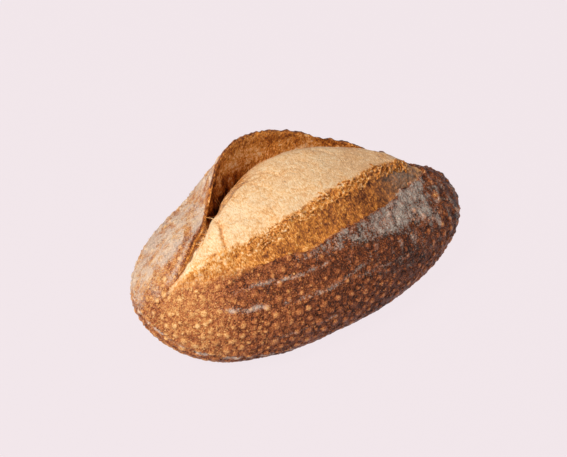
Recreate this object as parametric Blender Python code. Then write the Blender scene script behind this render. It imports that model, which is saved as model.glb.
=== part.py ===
"""Walnut cinnamon sourdough loaf.

An oval hearth loaf with one long slash. The dough has bloomed out of the slash as a pale
dome, the near side of the cut is a low lip, and the far side has peeled up into a tall ear.
The loaf lies along X with the ear on its +Y side, and its flat base rests at z = 0.
"""

import math

import bmesh
import bpy
import numpy as np

# The loaf before the slash opened, in metres
LENGTH = 0.260
NEAR_HALF_WIDTH = 0.0804
FAR_HALF_WIDTH = 0.0843
CROWN_HEIGHT = 0.0884
GIRTH_HEIGHT = 0.0257
FAR_SAG = 0.0093
BASE_SINK = 0.0116
AXIS_BOW = 0.0065
END_SHIFT = (0.0029, -0.0067)

# Brings the middle of the whole loaf, ear side and all, over the origin
SIDE_SHIFT = -0.0084

# How full the outline is, as superellipse exponents, at the -X end and at the +X end
NEAR_FULLNESS = (2.68, 1.82)
FAR_FULLNESS = (2.15, 1.85)
CROWN_FULLNESS = (2.25, 1.39)
BASE_FULLNESS = 2.6
END_BLEND = 1.5
UPPER_ROUNDNESS = 2.09
FAR_ROUNDNESS = (1.55, 1.52)
FAR_DROOP = (0.133, 0.516)
LOWER_ROUNDNESS = 2.40

# The near lip of the slash: station along the loaf from -1 to 1, and y
LIP_LINE = (
    (-0.870, -0.0114),
    (-0.780, -0.0170),
    (-0.620, -0.0295),
    (-0.420, -0.0370),
    (-0.200, -0.0418),
    (0.050, -0.0410),
    (0.300, -0.0366),
    (0.500, -0.0280),
    (0.650, -0.0198),
    (0.785, -0.0090),
)
# The ear's edge: station, y and height
EAR_LINE = (
    (-0.870, -0.0114, 0.0566),
    (-0.800, -0.0100, 0.0655),
    (-0.720, -0.0052, 0.0727),
    (-0.640, 0.0018, 0.0778),
    (-0.570, 0.0074, 0.0801),
    (-0.510, 0.0170, 0.0795),
    (-0.450, 0.0264, 0.0808),
    (-0.390, 0.0343, 0.0876),
    (-0.330, 0.0404, 0.0970),
    (-0.250, 0.0459, 0.1026),
    (-0.120, 0.0500, 0.1024),
    (0.020, 0.0502, 0.0995),
    (0.200, 0.0456, 0.0920),
    (0.400, 0.0346, 0.0796),
    (0.600, 0.0147, 0.0702),
    (0.785, -0.0090, 0.0589),
)
# The torn ridge between the band and the dome: station and y
RIDGE_LINE = (
    (-0.840, -0.0137),
    (-0.614, -0.0193),
    (-0.368, -0.0239),
    (-0.156, -0.0222),
    (0.037, -0.0188),
    (0.256, -0.0160),
    (0.420, -0.0100),
    (0.583, -0.0065),
    (0.760, -0.0070),
)
SLASH_START, SLASH_END = LIP_LINE[0], LIP_LINE[-1]
SEAM_WIDTH = 0.0016
OPENING_FADE = 0.24

# The near lip's rim, and the torn band that lies behind it
LIP_RISE = 0.0014
LIP_WIDTH = 0.004
LIP_BACK_WIDTH = 0.003
LIP_SIDE_START = 0.5
BAND_DIP = (0.0010, 0.0032)
BAND_MIDDLE = 0.0054
BAND_WIDTH = 0.009
RIDGE_RISE = 0.0014
RIDGE_WIDTH = 0.0042

# Raggedness along the slash: waves a half length, phase and share of each wave
RAGGED_WAVES = ((13.0, 0.4, 0.45), (22.0, 1.9, 0.33), (31.0, 4.1, 0.22))
LIP_WAVE, EAR_WAVE, RIDGE_WAVE = 0.0, 2.0, 4.0
LIP_RAGGED = 0.0014
EAR_RAGGED = 0.0012
RIDGE_RAGGED = 0.7

# The ear's flap, and the crevice between it and the dome
EAR_THICKNESS = 0.0034
EAR_CURL = 0.0030
EAR_FLARE = 1.57
EAR_EDGE_DROP = 0.2
CREVICE_GAP = 0.0050
CREVICE_SEAM_SHARE = 0.6
CREVICE_RISE = 0.0020
DOME_SWELL = 0.0070
DOME_SWELL_SPAN = 0.40
DOME_SHOULDER = 0.720
DOME_ROUNDNESS = 2.5

# How the mesh's columns are shared round a cross-section, from the base's middle line
COLUMNS = 104
RINGS = 57
LIP_COLUMN = 0.33
DOME_CROWDING = 1.15
CREVICE_COLUMN = 0.62
EDGE_COLUMN = 0.73
GIRTH_COLUMN = 0.87
COLUMN_STOPS = (0.0, LIP_COLUMN, CREVICE_COLUMN, EDGE_COLUMN, GIRTH_COLUMN, 1.0)

# Beyond the slash the columns of its two sides fan out to this angle, at the ends
END_FAN = math.radians(38.0)
END_FAN_SPAN = 0.33
END_SEAM_SPAN = 0.25
CREVICE_FAN_SHARE = 0.4
BASE_MIDDLE = math.radians(270.0)
FAR_GIRTH = 0.0

CRUST_COLOUR = (0.36, 0.16, 0.06, 1.0)
CRUST_ROUGHNESS = 0.72


def ease(value):
    """Smooth step from 0 to 1."""
    value = np.clip(value, 0.0, 1.0)
    return value * value * (3.0 - 2.0 * value)


def mix(a, b, share):
    """The value that lies the given share of the way from a to b."""
    return a + (b - a) * share


def along(pair, station):
    """A value that differs at the loaf's two ends, and changes over its middle two thirds."""
    return mix(pair[0], pair[1], ease((1.0 + station * END_BLEND) / 2.0))


def superellipse(share, power):
    """Height of a unit superellipse's side at the given share of its half length."""
    return math.sqrt(max(0.0, 1.0 - abs(share) ** power))


class Section:
    """The loaf's cross-section at one station: what its outline is built from."""

    def __init__(self, station):
        self.near = NEAR_HALF_WIDTH * superellipse(station, along(NEAR_FULLNESS, station))
        self.far = FAR_HALF_WIDTH * superellipse(station, along(FAR_FULLNESS, station))
        crown = superellipse(station, along(CROWN_FULLNESS, station))
        belly = superellipse(station, BASE_FULLNESS)
        self.rise = (CROWN_HEIGHT - GIRTH_HEIGHT) * crown
        self.drop = (GIRTH_HEIGHT + BASE_SINK) * belly
        end_shift = END_SHIFT[0] if station < 0.0 else END_SHIFT[1]
        self.bow = mix(AXIS_BOW, end_shift, station**2)
        self.far_sag = FAR_SAG * (1.0 - station**4)
        self.far_roundness = along(FAR_ROUNDNESS, station)
        self.far_droop = along(FAR_DROOP, station)

    def round_point(self, angle):
        """The unslashed outline at an angle: 0 at the far girth, 90 degrees at the top."""
        cosine, sine = np.cos(angle), np.sin(angle)
        half = np.where(cosine > 0.0, self.far, self.near)
        upper = np.where(cosine > 0.0, self.far_roundness, UPPER_ROUNDNESS)
        power = 2.0 / np.where(sine > 0.0, upper, LOWER_ROUNDNESS)
        droop = 1.0 - self.far_droop * np.maximum(cosine, 0.0)
        sag = np.where(cosine > 0.0, self.far_sag, 0.0)
        height = np.where(sine > 0.0, self.rise * droop + sag, self.drop - sag)
        y = self.bow + half * np.sign(cosine) * np.abs(cosine) ** power
        z = GIRTH_HEIGHT - sag + height * np.sign(sine) * np.abs(sine) ** power
        return y, np.maximum(z, 0.0)

    def top_angle(self, y):
        """The angle at which the unslashed outline's upper side passes over y."""
        half, power = (self.far, self.far_roundness) if y > self.bow else (self.near, UPPER_ROUNDNESS)
        share = min(1.0, abs(y - self.bow) / max(half, 1e-9))
        return math.acos(math.copysign(share ** (power / 2.0), y - self.bow))

    def crust_height(self, y):
        """The unslashed outline's upper side over y."""
        return float(self.round_point(np.array([self.top_angle(y)]))[1][0])

    def dome_height(self, y):
        """The bloomed dough's crown over y: as round on the far side as on the near side."""
        share = np.clip(np.abs(y - self.bow) / max(self.near, 1e-9), 0.0, 1.0)
        return GIRTH_HEIGHT + self.rise * (1.0 - share**UPPER_ROUNDNESS) ** (1.0 / UPPER_ROUNDNESS)


def slash_share(station):
    """Where a station lies on the slash: -1 at its start, 1 at its end."""
    start, end = SLASH_START[0], SLASH_END[0]
    return (station - (start + end) / 2.0) / ((end - start) / 2.0)


def through(rows, station):
    """The values of a table of stations at one station, on a smooth curve through its rows."""
    table = np.array(rows)
    at, values = table[:, 0], table[:, 1:]
    slopes = np.gradient(values, at, axis=0)
    place = int(np.clip(np.searchsorted(at, station) - 1, 0, len(at) - 2))
    step = at[place + 1] - at[place]
    share = float(np.clip((station - at[place]) / step, 0.0, 1.0))
    rise = ease(share)
    start_pull = share * (1.0 - share) ** 2 * step
    end_pull = share**2 * (share - 1.0) * step
    curve = mix(values[place], values[place + 1], rise)
    return curve + start_pull * slopes[place] + end_pull * slopes[place + 1]


def ragged(station, offset):
    """An uneven wave along the loaf, between -1 and 1."""
    return sum(share * math.sin(rate * station + phase + offset) for rate, phase, share in RAGGED_WAVES)


def stretch(columns, first, last):
    """The columns of one stretch of the outline, and their shares of the way along it."""
    inside = (columns >= first) & (columns < last)
    return inside, (columns[inside] - first) / (last - first)


def bump(distance, width):
    """A rounded rise of height 1, at a distance from its middle."""
    return np.exp(-((distance / width) ** 2))


def closed_outline(section, columns, share):
    """A cross-section clear of the slash, with its columns fanned out towards the end."""
    past = abs(share) - 1.0
    seam_y = SLASH_START[1] if share < 0.0 else SLASH_END[1]
    middle = section.top_angle(mix(seam_y, section.bow, ease(past / END_SEAM_SPAN)))
    seam = SEAM_WIDTH / max(section.near, SEAM_WIDTH)
    fan = mix(seam, END_FAN, ease(past / END_FAN_SPAN))
    lip, crevice, edge = middle + fan, middle - fan * CREVICE_FAN_SHARE, middle - fan
    angles = (BASE_MIDDLE, lip, crevice, edge, FAR_GIRTH, BASE_MIDDLE - math.tau)
    return section.round_point(np.interp(columns, COLUMN_STOPS, angles))


def dome_crown(section, y, lip_y, crevice_y, station, opening):
    """Height of the torn band and the dome over y, before the dome falls into the crevice."""
    crown = section.dome_height(y)
    over = (y - lip_y) / (crevice_y - lip_y)
    crown = crown + DOME_SWELL * opening * ease(over / DOME_SWELL_SPAN)
    dip = mix(BAND_DIP[0], BAND_DIP[1], ease((slash_share(station) + 1.0) / 2.0)) * opening
    crown = crown - dip * bump(y - lip_y - BAND_MIDDLE, BAND_WIDTH)
    crown = crown + LIP_RISE * opening * bump(y - lip_y, LIP_BACK_WIDTH)
    ridge_rise = RIDGE_RISE * opening * (1.0 + RIDGE_RAGGED * ragged(station, RIDGE_WAVE))
    return crown + ridge_rise * bump(y - through(RIDGE_LINE, station)[0], RIDGE_WIDTH)


def crevice_floor(section, y, station, opening):
    """Height of the crevice's floor: level between the slash's ends, and shut at them."""
    start_z = Section(SLASH_START[0]).crust_height(SLASH_START[1])
    end_z = Section(SLASH_END[0]).crust_height(SLASH_END[1])
    level = mix(start_z, end_z, (slash_share(station) + 1.0) / 2.0) + CREVICE_RISE
    return mix(section.crust_height(y), level, opening)


def open_outline(section, columns, station):
    """A cross-section through the slash: near crust, lip, dome, crevice, ear and far crust."""
    y, z = np.zeros_like(columns), np.zeros_like(columns)
    opening = float(ease((1.0 - abs(slash_share(station))) / OPENING_FADE))
    thickness = EAR_THICKNESS * opening
    lip_y = through(LIP_LINE, station)[0] - SEAM_WIDTH
    lip_y += LIP_RAGGED * opening * ragged(station, LIP_WAVE)
    edge_y, edge_z = through(EAR_LINE, station) + (SEAM_WIDTH, 0.0)
    edge_z += EAR_RAGGED * opening * ragged(station, EAR_WAVE)
    crevice_y = edge_y - SEAM_WIDTH * CREVICE_SEAM_SHARE - CREVICE_GAP * opening
    crevice_z = crevice_floor(section, crevice_y, station, opening)

    # Near crust, from the middle of the base round to the lip
    inside, part = stretch(columns, 0.0, LIP_COLUMN)
    y[inside], z[inside] = section.round_point(mix(BASE_MIDDLE, section.top_angle(lip_y), part))
    z[inside] += LIP_RISE * opening * bump(lip_y - y[inside], LIP_WIDTH) * (part > LIP_SIDE_START)

    # Torn band and dome, from the lip over the crown and down into the crevice
    inside, part = stretch(columns, LIP_COLUMN, CREVICE_COLUMN)
    over = np.sin(part * math.pi / 2.0) ** DOME_CROWDING
    y[inside] = mix(lip_y, crevice_y, over)
    fall = np.clip((over - DOME_SHOULDER) / (1.0 - DOME_SHOULDER), 0.0, 1.0)
    hold = (1.0 - fall**DOME_ROUNDNESS) ** (1.0 / DOME_ROUNDNESS)
    z[inside] = mix(crevice_z, dome_crown(section, y[inside], lip_y, crevice_y, station, opening), hold)

    # The ear's inner face, hollowed like a wave that is about to break
    inside, part = stretch(columns, CREVICE_COLUMN, EDGE_COLUMN)
    y[inside] = mix(crevice_y, edge_y - thickness / 2.0, part)
    y[inside] += EAR_CURL * opening * np.sin(part * math.pi)
    z[inside] = mix(crevice_z, edge_z, part)

    # The ear's outer face: the crust as it was, drawn up towards the edge
    inside, part = stretch(columns, EDGE_COLUMN, GIRTH_COLUMN)
    plain_y, plain_z = section.round_point(mix(section.top_angle(edge_y), FAR_GIRTH, part))
    pull = (1.0 - part) ** EAR_FLARE
    y[inside] = plain_y + pull * thickness / 2.0
    lift = edge_z - section.crust_height(edge_y) - thickness * EAR_EDGE_DROP
    z[inside] = plain_z + pull * lift

    # Far crust below the girth, back to the middle of the base
    inside, part = stretch(columns, GIRTH_COLUMN, 1.0)
    y[inside], z[inside] = section.round_point(mix(FAR_GIRTH, BASE_MIDDLE - math.tau, part))
    return y, z


def loaf_outline(station, columns):
    """The y and z of the loaf's surface at a station, for columns from 0 to 1 round it."""
    section = Section(station)
    share = slash_share(station)
    if abs(share) >= 1.0:
        return closed_outline(section, columns, share)
    return open_outline(section, columns, station)


def shape_ball(mesh):
    """Moves a unit ball's vertices onto the loaf, ring by ring along X."""
    rings = {}
    for vertex in mesh.verts:
        rings.setdefault(round(vertex.co.z, 5), []).append(vertex)
    for station, ring in rings.items():
        turns = np.array([math.atan2(v.co.y, v.co.x) / math.tau for v in ring])
        columns = np.round((0.75 - turns) % 1.0, 6) % 1.0
        y, z = loaf_outline(max(-1.0, min(1.0, station)), columns)
        for vertex, vertex_y, vertex_z in zip(ring, y, z):
            vertex.co = (station * LENGTH / 2.0, vertex_y + SIDE_SHIFT, vertex_z)


def crust_material():
    """Browned crust, rough and a little glossy where it is darkest."""
    material = bpy.data.materials.new("browned_crust")
    material.use_nodes = True
    surface = material.node_tree.nodes["Principled BSDF"]
    surface.inputs["Base Color"].default_value = CRUST_COLOUR
    surface.inputs["Roughness"].default_value = CRUST_ROUGHNESS
    surface.inputs["Metallic"].default_value = 0.0
    return material


def make_loaf(collection):
    """The whole loaf as one solid, from a ball primitive."""
    mesh = bmesh.new()
    bmesh.ops.create_uvsphere(mesh, u_segments=COLUMNS, v_segments=RINGS, radius=1.0)
    shape_ball(mesh)
    data = bpy.data.meshes.new("loaf")
    mesh.to_mesh(data)
    mesh.free()
    data.shade_smooth()
    data.materials.append(crust_material())
    loaf = bpy.data.objects.new("loaf", data)
    collection.objects.link(loaf)
    return loaf


def main():
    """Clears the scene and builds the loaf in a collection of its own."""
    for old in list(bpy.data.objects):
        bpy.data.objects.remove(old)
    collection = bpy.data.collections.new("sourdough_loaf")
    bpy.context.scene.collection.children.link(collection)
    make_loaf(collection)


main()
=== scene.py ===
"""Looks of a walnut cinnamon sourdough loaf: an oval hearth loaf, slashed once along its length.

One closed surface stands for the whole loaf. It follows the solid's cross-sections, station by
station, and adds the relief of a baked crust: blisters, a torn band behind the lip, the ragged
ridge where the pale dome begins, and the streaked inside of the ear. Torn flakes stand along the
ridge, and strands of dough cross the crevice.
"""
import math

import bpy
import numpy as np
from mathutils import Matrix, Vector, kdtree, noise


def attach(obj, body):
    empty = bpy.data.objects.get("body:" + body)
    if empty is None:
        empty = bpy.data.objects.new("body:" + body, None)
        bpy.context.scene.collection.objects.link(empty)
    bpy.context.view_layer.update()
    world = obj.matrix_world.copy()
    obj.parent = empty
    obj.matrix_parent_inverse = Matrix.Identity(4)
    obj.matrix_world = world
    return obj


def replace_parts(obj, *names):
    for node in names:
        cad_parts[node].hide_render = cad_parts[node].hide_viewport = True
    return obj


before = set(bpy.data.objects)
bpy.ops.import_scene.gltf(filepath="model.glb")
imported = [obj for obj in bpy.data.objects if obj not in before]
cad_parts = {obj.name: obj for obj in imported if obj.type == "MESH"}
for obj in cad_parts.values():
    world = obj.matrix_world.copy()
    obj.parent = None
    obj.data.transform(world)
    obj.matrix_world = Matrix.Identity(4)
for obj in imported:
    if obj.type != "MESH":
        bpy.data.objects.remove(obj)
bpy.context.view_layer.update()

MM = 0.001
TINY = 1e-9

# The loaf before the slash opened, in metres, as the solid has it
LENGTH = 0.260
NEAR_HALF_WIDTH = 0.0804
FAR_HALF_WIDTH = 0.0843
CROWN_HEIGHT = 0.0884
GIRTH_HEIGHT = 0.0257
FAR_SAG = 0.0093
BASE_SINK = 0.0116
AXIS_BOW = 0.0065
END_SHIFT = (0.0029, -0.0067)
SIDE_SHIFT = -0.0084
NEAR_FULLNESS = (2.68, 1.82)
FAR_FULLNESS = (2.15, 1.85)
CROWN_FULLNESS = (2.25, 1.39)
BASE_FULLNESS = 2.6
UPPER_ROUNDNESS = 2.09
FAR_ROUNDNESS = (1.55, 1.52)
FAR_DROOP = (0.133, 0.516)
LOWER_ROUNDNESS = 2.40
# How fast, per half length, a value changes over from the one at the start to the one at the end
END_BLEND = 1.5

# The near lip of the slash: station along the loaf from -1 to 1, and y
LIP_LINE = (
    (-0.870, -0.0114),
    (-0.780, -0.0170),
    (-0.620, -0.0295),
    (-0.420, -0.0370),
    (-0.200, -0.0418),
    (0.050, -0.0410),
    (0.300, -0.0366),
    (0.500, -0.0280),
    (0.650, -0.0198),
    (0.785, -0.0090),
)
# The ear's edge: station, y and height
EAR_LINE = (
    (-0.870, -0.0114, 0.0566),
    (-0.800, -0.0100, 0.0655),
    (-0.720, -0.0052, 0.0727),
    (-0.640, 0.0018, 0.0778),
    (-0.570, 0.0074, 0.0801),
    (-0.510, 0.0170, 0.0795),
    (-0.450, 0.0264, 0.0808),
    (-0.390, 0.0343, 0.0876),
    (-0.330, 0.0404, 0.0970),
    (-0.250, 0.0459, 0.1026),
    (-0.120, 0.0500, 0.1024),
    (0.020, 0.0502, 0.0995),
    (0.200, 0.0456, 0.0920),
    (0.400, 0.0346, 0.0796),
    (0.600, 0.0147, 0.0702),
    (0.785, -0.0090, 0.0589),
)
# The torn ridge between the band and the dome: station and y
RIDGE_LINE = (
    (-0.840, -0.0137),
    (-0.614, -0.0193),
    (-0.368, -0.0239),
    (-0.156, -0.0222),
    (0.037, -0.0188),
    (0.256, -0.0160),
    (0.420, -0.0100),
    (0.583, -0.0065),
    (0.760, -0.0070),
)
SLASH_START, SLASH_END = LIP_LINE[0], LIP_LINE[-1]
SEAM_WIDTH = 0.0016
OPENING_FADE = 0.24
LIP_RISE = 0.0014
LIP_WIDTH = 0.004
LIP_SIDE_START = 0.5
LIP_BACK_WIDTH = 0.003
BAND_DIP = (0.0010, 0.0032)
BAND_MIDDLE = 0.0054
BAND_WIDTH = 0.009
RIDGE_RISE = 0.0014
RIDGE_WIDTH = 0.0042
# An uneven wave: rate, phase and share of each part, and how far the wave is shifted for each line
RAGGED_WAVES = ((13.0, 0.4, 0.45), (22.0, 1.9, 0.33), (31.0, 4.1, 0.22))
LIP_WAVE, EAR_WAVE, RIDGE_WAVE = 0.0, 2.0, 4.0
LIP_RAGGED = 0.0014
EAR_RAGGED = 0.0012
RIDGE_RAGGED = 0.7
EAR_THICKNESS = 0.0034
EAR_EDGE_DROP = 0.2
EAR_CURL = 0.0030
EAR_FLARE = 1.57
CREVICE_GAP = 0.0050
CREVICE_SEAM_SHARE = 0.6
CREVICE_FAN_SHARE = 0.4
CREVICE_RISE = 0.0020
DOME_SWELL = 0.0070
DOME_SWELL_SPAN = 0.40
DOME_SHOULDER = 0.720
DOME_ROUNDNESS = 2.5

# On the left the dome has torn away from the ear only just below its edge
SHALLOW_END = -0.56
SHALLOW_FADE = 0.12
SHALLOW_DEPTH = 0.0052

# The stretches of a section's columns, as the solid has them
LIP_COLUMN = 0.33
CREVICE_COLUMN = 0.62
EDGE_COLUMN = 0.73
GIRTH_COLUMN = 0.87
COLUMN_STOPS = (0.0, LIP_COLUMN, CREVICE_COLUMN, EDGE_COLUMN, GIRTH_COLUMN, 1.0)
DOME_CROWDING = 1.15
END_FAN = math.radians(38.0)
END_FAN_SPAN = 0.33
END_SEAM_SPAN = 0.25
BASE_MIDDLE = math.radians(270.0)
FAR_GIRTH = 0.0

# How finely the surface is drawn: rings along the loaf, and points round each stretch of a ring
RINGS = 300
BASE_POINTS = 12
NEAR_POINTS = 104
DOME_POINTS = 104
EAR_POINTS = 24
FAR_POINTS = 74
FINE_POINTS = 400
FINE_STATIONS = 3000
# The skin's depth and fullness, seen from the side, by which the rings are spaced
SKIN_DEPTH = 0.075
SKIN_FULLNESS = 2.2
# Where the base ends, and the least share of a ring's near and far sides that it takes
FLAT_BASE = 0.0003
LEAST_BASE_SHARE = 0.06
# The column at which the skin closes at each end
TIP_COLUMN = 0.4

# The camera, from the photograph's outline of the loaf
VIEW_TURN = math.radians(32.7944)
VIEW_TILT = math.radians(45.4888)
VIEW_DISTANCE = 0.96637
VIEW_AIM = (0.0, SIDE_SHIFT, 0.043335)
VIEW_RIGHT = -0.011652
VIEW_UP = 0.0021186
LENS = 85.0
SENSOR = 36.0


def ease(value):
    """Smooth step from 0 to 1."""
    value = np.clip(value, 0.0, 1.0)
    return value * value * (3.0 - 2.0 * value)


def mix(a, b, share):
    """The value that lies the given share of the way from a to b."""
    return a + (b - a) * share


def along(pair, station):
    """A value that differs at the loaf's two ends, and changes over its middle two thirds."""
    return mix(pair[0], pair[1], ease((1.0 + station * END_BLEND) / 2.0))


def superellipse(share, power):
    """Height of a unit superellipse's side at the given share of its half length."""
    return math.sqrt(max(0.0, 1.0 - abs(share) ** power))


class Section:
    """The loaf's cross-section at one station: what its outline is built from."""

    def __init__(self, station):
        self.near = NEAR_HALF_WIDTH * superellipse(station, along(NEAR_FULLNESS, station))
        self.far = FAR_HALF_WIDTH * superellipse(station, along(FAR_FULLNESS, station))
        crown = superellipse(station, along(CROWN_FULLNESS, station))
        belly = superellipse(station, BASE_FULLNESS)
        self.rise = (CROWN_HEIGHT - GIRTH_HEIGHT) * crown
        self.drop = (GIRTH_HEIGHT + BASE_SINK) * belly
        end_shift = END_SHIFT[0] if station < 0.0 else END_SHIFT[1]
        self.bow = mix(AXIS_BOW, end_shift, station**2)
        self.far_sag = FAR_SAG * (1.0 - station**4)
        self.far_roundness = along(FAR_ROUNDNESS, station)
        self.far_droop = along(FAR_DROOP, station)

    def round_point(self, angle):
        """The unslashed outline at an angle: 0 at the far girth, 90 degrees at the top."""
        cosine, sine = np.cos(angle), np.sin(angle)
        half = np.where(cosine > 0.0, self.far, self.near)
        upper = np.where(cosine > 0.0, self.far_roundness, UPPER_ROUNDNESS)
        power = 2.0 / np.where(sine > 0.0, upper, LOWER_ROUNDNESS)
        droop = 1.0 - self.far_droop * np.maximum(cosine, 0.0)
        sag = np.where(cosine > 0.0, self.far_sag, 0.0)
        height = np.where(sine > 0.0, self.rise * droop + sag, self.drop - sag)
        y = self.bow + half * np.sign(cosine) * np.abs(cosine) ** power
        z = GIRTH_HEIGHT - sag + height * np.sign(sine) * np.abs(sine) ** power
        return y, np.maximum(z, 0.0)

    def top_angle(self, y):
        """The angle at which the unslashed outline's upper side passes over y."""
        half, power = (self.far, self.far_roundness) if y > self.bow else (self.near, UPPER_ROUNDNESS)
        share = min(1.0, abs(y - self.bow) / max(half, TINY))
        return math.acos(math.copysign(share ** (power / 2.0), y - self.bow))

    def crust_height(self, y):
        """The unslashed outline's upper side over y."""
        return float(self.round_point(np.array([self.top_angle(y)]))[1][0])

    def dome_height(self, y):
        """The bloomed dough's crown over y: as round on the far side as on the near side."""
        share = np.clip(np.abs(y - self.bow) / max(self.near, TINY), 0.0, 1.0)
        return GIRTH_HEIGHT + self.rise * (1.0 - share**UPPER_ROUNDNESS) ** (1.0 / UPPER_ROUNDNESS)


def slash_share(station):
    """Where a station lies on the slash: -1 at its start, 1 at its end."""
    start, end = SLASH_START[0], SLASH_END[0]
    return (station - (start + end) / 2.0) / ((end - start) / 2.0)


def through(rows, station):
    """The values of a table of stations at one station, on a smooth curve through its rows."""
    table = np.array(rows)
    at, values = table[:, 0], table[:, 1:]
    slopes = np.gradient(values, at, axis=0)
    place = int(np.clip(np.searchsorted(at, station) - 1, 0, len(at) - 2))
    step = at[place + 1] - at[place]
    share = float(np.clip((station - at[place]) / step, 0.0, 1.0))
    rise = ease(share)
    start_pull = share * (1.0 - share) ** 2 * step
    end_pull = share**2 * (share - 1.0) * step
    curve = mix(values[place], values[place + 1], rise)
    return curve + start_pull * slopes[place] + end_pull * slopes[place + 1]


def ragged(station, offset):
    """An uneven wave along the loaf, between -1 and 1."""
    return sum(share * math.sin(rate * station + phase + offset) for rate, phase, share in RAGGED_WAVES)


def stretch(columns, first, last):
    """The columns of one stretch of the outline, and their shares of the way along it."""
    inside = (columns >= first) & (columns < last)
    return inside, (columns[inside] - first) / (last - first)


def bump(distance, width):
    """A rounded rise of height 1, at a distance from its middle."""
    return np.exp(-((distance / width) ** 2))


def closed_outline(section, columns, share):
    """A cross-section clear of the slash, with its columns fanned out towards the end."""
    past = abs(share) - 1.0
    seam_y = SLASH_START[1] if share < 0.0 else SLASH_END[1]
    middle = section.top_angle(mix(seam_y, section.bow, ease(past / END_SEAM_SPAN)))
    seam = SEAM_WIDTH / max(section.near, SEAM_WIDTH)
    fan = mix(seam, END_FAN, ease(past / END_FAN_SPAN))
    lip, crevice, edge = middle + fan, middle - fan * CREVICE_FAN_SHARE, middle - fan
    angles = (BASE_MIDDLE, lip, crevice, edge, FAR_GIRTH, BASE_MIDDLE - math.tau)
    return section.round_point(np.interp(columns, COLUMN_STOPS, angles))


def dome_crown(section, y, lip_y, crevice_y, station, opening):
    """Height of the torn band and the dome over y, before the dome falls into the crevice."""
    crown = section.dome_height(y)
    over = (y - lip_y) / (crevice_y - lip_y)
    crown = crown + DOME_SWELL * opening * ease(over / DOME_SWELL_SPAN)
    dip = mix(BAND_DIP[0], BAND_DIP[1], ease((slash_share(station) + 1.0) / 2.0)) * opening
    crown = crown - dip * bump(y - lip_y - BAND_MIDDLE, BAND_WIDTH)
    crown = crown + LIP_RISE * opening * bump(y - lip_y, LIP_BACK_WIDTH)
    ridge_rise = RIDGE_RISE * opening * (1.0 + RIDGE_RAGGED * ragged(station, RIDGE_WAVE))
    return crown + ridge_rise * bump(y - through(RIDGE_LINE, station)[0], RIDGE_WIDTH)


def crevice_floor(section, y, station, opening, edge_z):
    """Height of the crevice's floor: level in the middle, shallow on the left, shut at the ends."""
    start_z = Section(SLASH_START[0]).crust_height(SLASH_START[1])
    end_z = Section(SLASH_END[0]).crust_height(SLASH_END[1])
    level = mix(start_z, end_z, (slash_share(station) + 1.0) / 2.0) + CREVICE_RISE
    shallow = 1.0 - ease((station - SHALLOW_END) / SHALLOW_FADE)
    level = mix(level, max(level, edge_z - SHALLOW_DEPTH), shallow)
    return mix(section.crust_height(y), level, opening)


def open_outline(section, columns, station):
    """A cross-section through the slash: near crust, lip, dome, crevice, ear and far crust."""
    y, z = np.zeros_like(columns), np.zeros_like(columns)
    opening = float(ease((1.0 - abs(slash_share(station))) / OPENING_FADE))
    thickness = EAR_THICKNESS * opening
    lip_y = through(LIP_LINE, station)[0] - SEAM_WIDTH
    lip_y += LIP_RAGGED * opening * ragged(station, LIP_WAVE)
    edge_y, edge_z = through(EAR_LINE, station) + (SEAM_WIDTH, 0.0)
    edge_z += EAR_RAGGED * opening * ragged(station, EAR_WAVE)
    crevice_y = edge_y - SEAM_WIDTH * CREVICE_SEAM_SHARE - CREVICE_GAP * opening
    crevice_z = crevice_floor(section, crevice_y, station, opening, edge_z)

    # Near crust, from the middle of the base round to the lip
    inside, part = stretch(columns, 0.0, LIP_COLUMN)
    y[inside], z[inside] = section.round_point(mix(BASE_MIDDLE, section.top_angle(lip_y), part))
    z[inside] += LIP_RISE * opening * bump(lip_y - y[inside], LIP_WIDTH) * (part > LIP_SIDE_START)

    # Torn band and dome, from the lip over the crown and down into the crevice
    inside, part = stretch(columns, LIP_COLUMN, CREVICE_COLUMN)
    over = np.sin(part * math.pi / 2.0) ** DOME_CROWDING
    y[inside] = mix(lip_y, crevice_y, over)
    fall = np.clip((over - DOME_SHOULDER) / (1.0 - DOME_SHOULDER), 0.0, 1.0)
    hold = (1.0 - fall**DOME_ROUNDNESS) ** (1.0 / DOME_ROUNDNESS)
    z[inside] = mix(crevice_z, dome_crown(section, y[inside], lip_y, crevice_y, station, opening), hold)

    # The ear's inner face, hollowed like a wave that is about to break
    inside, part = stretch(columns, CREVICE_COLUMN, EDGE_COLUMN)
    y[inside] = mix(crevice_y, edge_y - thickness / 2.0, part)
    y[inside] += EAR_CURL * opening * np.sin(part * math.pi)
    z[inside] = mix(crevice_z, edge_z, part)

    # The ear's outer face: the crust as it was, drawn up towards the edge
    inside, part = stretch(columns, EDGE_COLUMN, GIRTH_COLUMN)
    plain_y, plain_z = section.round_point(mix(section.top_angle(edge_y), FAR_GIRTH, part))
    pull = (1.0 - part) ** EAR_FLARE
    y[inside] = plain_y + pull * thickness / 2.0
    lift = edge_z - section.crust_height(edge_y) - thickness * EAR_EDGE_DROP
    z[inside] = plain_z + pull * lift

    # Far crust below the girth, back to the middle of the base
    inside, part = stretch(columns, GIRTH_COLUMN, 1.0)
    y[inside], z[inside] = section.round_point(mix(FAR_GIRTH, BASE_MIDDLE - math.tau, part))
    return y, z


def loaf_outline(station, columns):
    """The y and z of the loaf's surface at a station, for columns from 0 to 1 round it."""
    section = Section(station)
    share = slash_share(station)
    if abs(share) >= 1.0:
        return closed_outline(section, columns, share)
    return open_outline(section, columns, station)


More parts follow.
